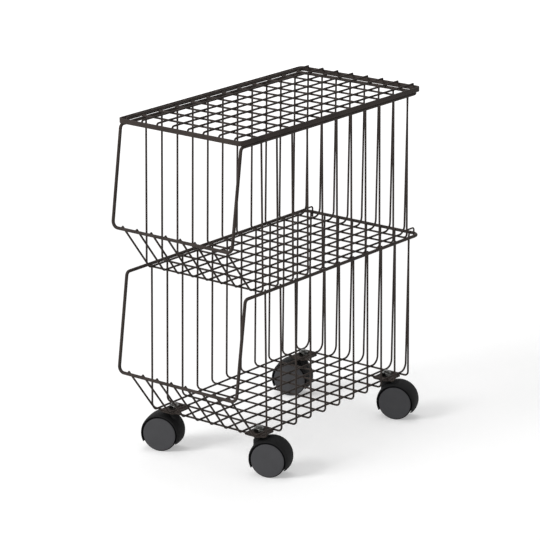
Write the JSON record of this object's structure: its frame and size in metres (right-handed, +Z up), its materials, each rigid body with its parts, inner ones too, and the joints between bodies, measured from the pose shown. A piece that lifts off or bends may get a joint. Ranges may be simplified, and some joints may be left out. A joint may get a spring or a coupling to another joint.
{
  "type": "rolling tiered basket rack",
  "caption": "Rolling rack of stacked welded-wire baskets with open sloped fronts and a lift-off wire lid, on swivelling twin-wheel casters.",
  "frame": {"origin": "on the floor, under the middle of the rack's bounding box", "axes": "+Z up, -Y towards the open fronts of the baskets, +X to the right seen from the front"},
  "size_m": [0.2456, 0.4333, 0.491],
  "materials": {
    "coated_steel": "dark brown-black powder coat, satin",
    "bare_steel": "zinc plated",
    "hood_plastic": "black moulded nylon, fine grain",
    "tread_plastic": "black moulded nylon, smooth",
    "cap_plastic": "dark grey moulded nylon"
  },
  "bodies": {
    "lower_basket": {"lower_basket_rim": "coated_steel", "lower_basket_wires": "coated_steel", "corner_plate_front_left": "coated_steel", "hex_nut_front_left": "bare_steel", "stem_front_left": "bare_steel", "corner_plate_front_right": "coated_steel", "hex_nut_front_right": "bare_steel", "stem_front_right": "bare_steel", "corner_plate_rear_left": "coated_steel", "hex_nut_rear_left": "bare_steel", "stem_rear_left": "bare_steel", "corner_plate_rear_right": "coated_steel", "hex_nut_rear_right": "bare_steel", "stem_rear_right": "bare_steel"},
    "upper_basket": {"upper_basket_rim": "coated_steel", "upper_basket_wires": "coated_steel", "stacking_clip_left": "coated_steel", "stacking_clip_right": "coated_steel"},
    "lid": {"lid_frame": "coated_steel", "lid_grid": "coated_steel"},
    "caster_front_left": {"housing_front_left": "hood_plastic", "axle_front_left": "bare_steel"},
    "wheel_a_front_left": {"wheel_a_front_left": "tread_plastic", "wheel_cap_a_front_left": "cap_plastic"},
    "wheel_b_front_left": {"wheel_b_front_left": "tread_plastic", "wheel_cap_b_front_left": "cap_plastic"},
    "caster_front_right": {"housing_front_right": "hood_plastic", "axle_front_right": "bare_steel"},
    "wheel_a_front_right": {"wheel_a_front_right": "tread_plastic", "wheel_cap_a_front_right": "cap_plastic"},
    "wheel_b_front_right": {"wheel_b_front_right": "tread_plastic", "wheel_cap_b_front_right": "cap_plastic"},
    "caster_rear_left": {"housing_rear_left": "hood_plastic", "axle_rear_left": "bare_steel"},
    "wheel_a_rear_left": {"wheel_a_rear_left": "tread_plastic", "wheel_cap_a_rear_left": "cap_plastic"},
    "wheel_b_rear_left": {"wheel_b_rear_left": "tread_plastic", "wheel_cap_b_rear_left": "cap_plastic"},
    "caster_rear_right": {"housing_rear_right": "hood_plastic", "axle_rear_right": "bare_steel"},
    "wheel_a_rear_right": {"wheel_a_rear_right": "tread_plastic", "wheel_cap_a_rear_right": "cap_plastic"},
    "wheel_b_rear_right": {"wheel_b_rear_right": "tread_plastic", "wheel_cap_b_rear_right": "cap_plastic"}
  },
  "joints": [
    {"name": "upper_basket_lift", "type": "slide", "parent": "lower_basket", "child": "upper_basket", "axis": [0, 0, 1], "range_m": [0, 0.08]},
    {"name": "lid_lift", "type": "slide", "parent": "upper_basket", "child": "lid", "axis": [0, 0, 1], "range_m": [0, 0.05]},
    {"name": "swivel_front_left", "type": "hinge", "parent": "lower_basket", "child": "caster_front_left", "pos_m": [-0.07569, -0.12245, 0.0564], "axis": [0, 0, 1], "continuous": true},
    {"name": "roll_a_front_left", "type": "hinge", "parent": "caster_front_left", "child": "wheel_a_front_left", "pos_m": [-0.09158, -0.12849, 0.025], "axis": [0.3551, -0.9348, 0], "continuous": true},
    {"name": "roll_b_front_left", "type": "hinge", "parent": "caster_front_left", "child": "wheel_b_front_left", "pos_m": [-0.09158, -0.12849, 0.025], "axis": [0.3551, -0.9348, 0], "continuous": true},
    {"name": "swivel_front_right", "type": "hinge", "parent": "lower_basket", "child": "caster_front_right", "pos_m": [0.07569, -0.12245, 0.0564], "axis": [0, 0, 1], "continuous": true},
    {"name": "roll_a_front_right", "type": "hinge", "parent": "caster_front_right", "child": "wheel_a_front_right", "pos_m": [0.09158, -0.11641, 0.025], "axis": [-0.3551, 0.9348, 0], "continuous": true},
    {"name": "roll_b_front_right", "type": "hinge", "parent": "caster_front_right", "child": "wheel_b_front_right", "pos_m": [0.09158, -0.11641, 0.025], "axis": [-0.3551, 0.9348, 0], "continuous": true},
    {"name": "swivel_rear_left", "type": "hinge", "parent": "lower_basket", "child": "caster_rear_left", "pos_m": [-0.07569, 0.17455, 0.0564], "axis": [0, 0, 1], "continuous": true},
    {"name": "roll_a_rear_left", "type": "hinge", "parent": "caster_rear_left", "child": "wheel_a_rear_left", "pos_m": [-0.09158, 0.16851, 0.025], "axis": [0.3551, -0.9348, 0], "continuous": true},
    {"name": "roll_b_rear_left", "type": "hinge", "parent": "caster_rear_left", "child": "wheel_b_rear_left", "pos_m": [-0.09158, 0.16851, 0.025], "axis": [0.3551, -0.9348, 0], "continuous": true},
    {"name": "swivel_rear_right", "type": "hinge", "parent": "lower_basket", "child": "caster_rear_right", "pos_m": [0.07569, 0.17455, 0.0564], "axis": [0, 0, 1], "continuous": true},
    {"name": "roll_a_rear_right", "type": "hinge", "parent": "caster_rear_right", "child": "wheel_a_rear_right", "pos_m": [0.09158, 0.18059, 0.025], "axis": [-0.3551, 0.9348, 0], "continuous": true},
    {"name": "roll_b_rear_right", "type": "hinge", "parent": "caster_rear_right", "child": "wheel_b_rear_right", "pos_m": [0.09158, 0.18059, 0.025], "axis": [-0.3551, 0.9348, 0], "continuous": true}
  ]
}
